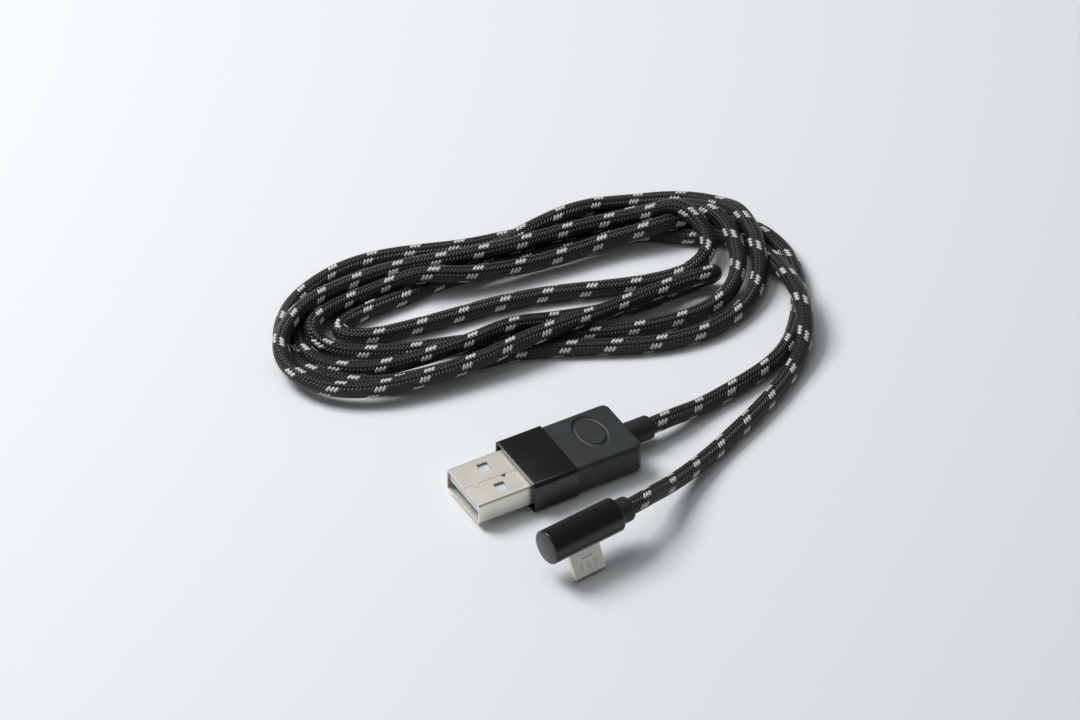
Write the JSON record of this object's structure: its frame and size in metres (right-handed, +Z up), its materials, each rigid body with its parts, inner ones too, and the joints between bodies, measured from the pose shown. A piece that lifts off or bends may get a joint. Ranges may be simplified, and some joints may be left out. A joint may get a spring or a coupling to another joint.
{
  "type": "charging cable",
  "caption": "Braided charging cable with a flat USB-A plug, a right-angle micro-USB plug with sprung latch hooks, and its cord wound in a loose oblong hank.",
  "frame": {"origin": "on the table under the middle of the USB-A plug, counting its strain relief", "axes": "+X along the USB-A plug from its mouth to its cord, +Z up, +Y towards the hank"},
  "size_m": [0.1011, 0.0983, 0.0107],
  "materials": {
    "satin_nickel": "satin nickel plate",
    "natural_nylon": "moulded, semi-matt",
    "black_nylon": "moulded, matt",
    "gold_plate": "flash gold plate",
    "spring_steel": "rolled",
    "gloss_black_abs": "gloss",
    "slate_rubber": "fine matt, lightly scuffed",
    "black_rubber": "satin",
    "black_anodised": "satin black anodised",
    "braid": "tight braid with pale flecks",
    "wire_black": "extruded",
    "wire_green": "extruded",
    "wire_white": "extruded",
    "wire_red": "extruded"
  },
  "bodies": {
    "plugs_and_cord": {"usb_a_shell": "satin_nickel", "usb_a_insulator": "natural_nylon", "usb_a_contact_ground": "gold_plate", "usb_a_contact_data_plus": "gold_plate", "usb_a_contact_data_minus": "gold_plate", "usb_a_contact_power": "gold_plate", "usb_a_collar": "gloss_black_abs", "usb_a_rubber_body": "slate_rubber", "usb_a_strain_relief": "black_rubber", "usb_a_crimp": "satin_nickel", "usb_a_cord_core": "braid", "usb_a_wire_black": "wire_black", "usb_a_wire_green": "wire_green", "usb_a_wire_white": "wire_white", "usb_a_wire_red": "wire_red", "cord_usb_a_end": "braid", "cord_hank": "braid", "cord_micro_end": "braid", "micro_barrel": "black_anodised", "micro_end_cap": "black_anodised", "micro_neck": "black_rubber", "micro_crimp": "satin_nickel", "micro_cord_core": "braid", "micro_shell": "satin_nickel", "micro_insulator": "black_nylon", "micro_contact_power": "gold_plate", "micro_contact_data_minus": "gold_plate", "micro_contact_data_plus": "gold_plate", "micro_contact_sense": "gold_plate", "micro_contact_ground": "gold_plate", "micro_wire_red": "wire_red", "micro_wire_white": "wire_white", "micro_wire_green": "wire_green", "micro_wire_black": "wire_black"},
    "latch_left": {"micro_latch_left": "spring_steel"},
    "latch_right": {"micro_latch_right": "spring_steel"}
  },
  "joints": [
    {"name": "latch_left_press", "type": "hinge", "parent": "plugs_and_cord", "child": "latch_left", "pos_m": [-0.01142, -0.02403, 0.00499], "axis": [-0.9936, -0.1132, 0], "range_deg": [0, 6], "stiffness_Nm_per_rad": 0.002},
    {"name": "latch_right_press", "type": "hinge", "parent": "plugs_and_cord", "child": "latch_right", "pos_m": [-0.00735, -0.02357, 0.00499], "axis": [-0.9936, -0.1132, 0], "range_deg": [0, 6], "stiffness_Nm_per_rad": 0.002}
  ]
}
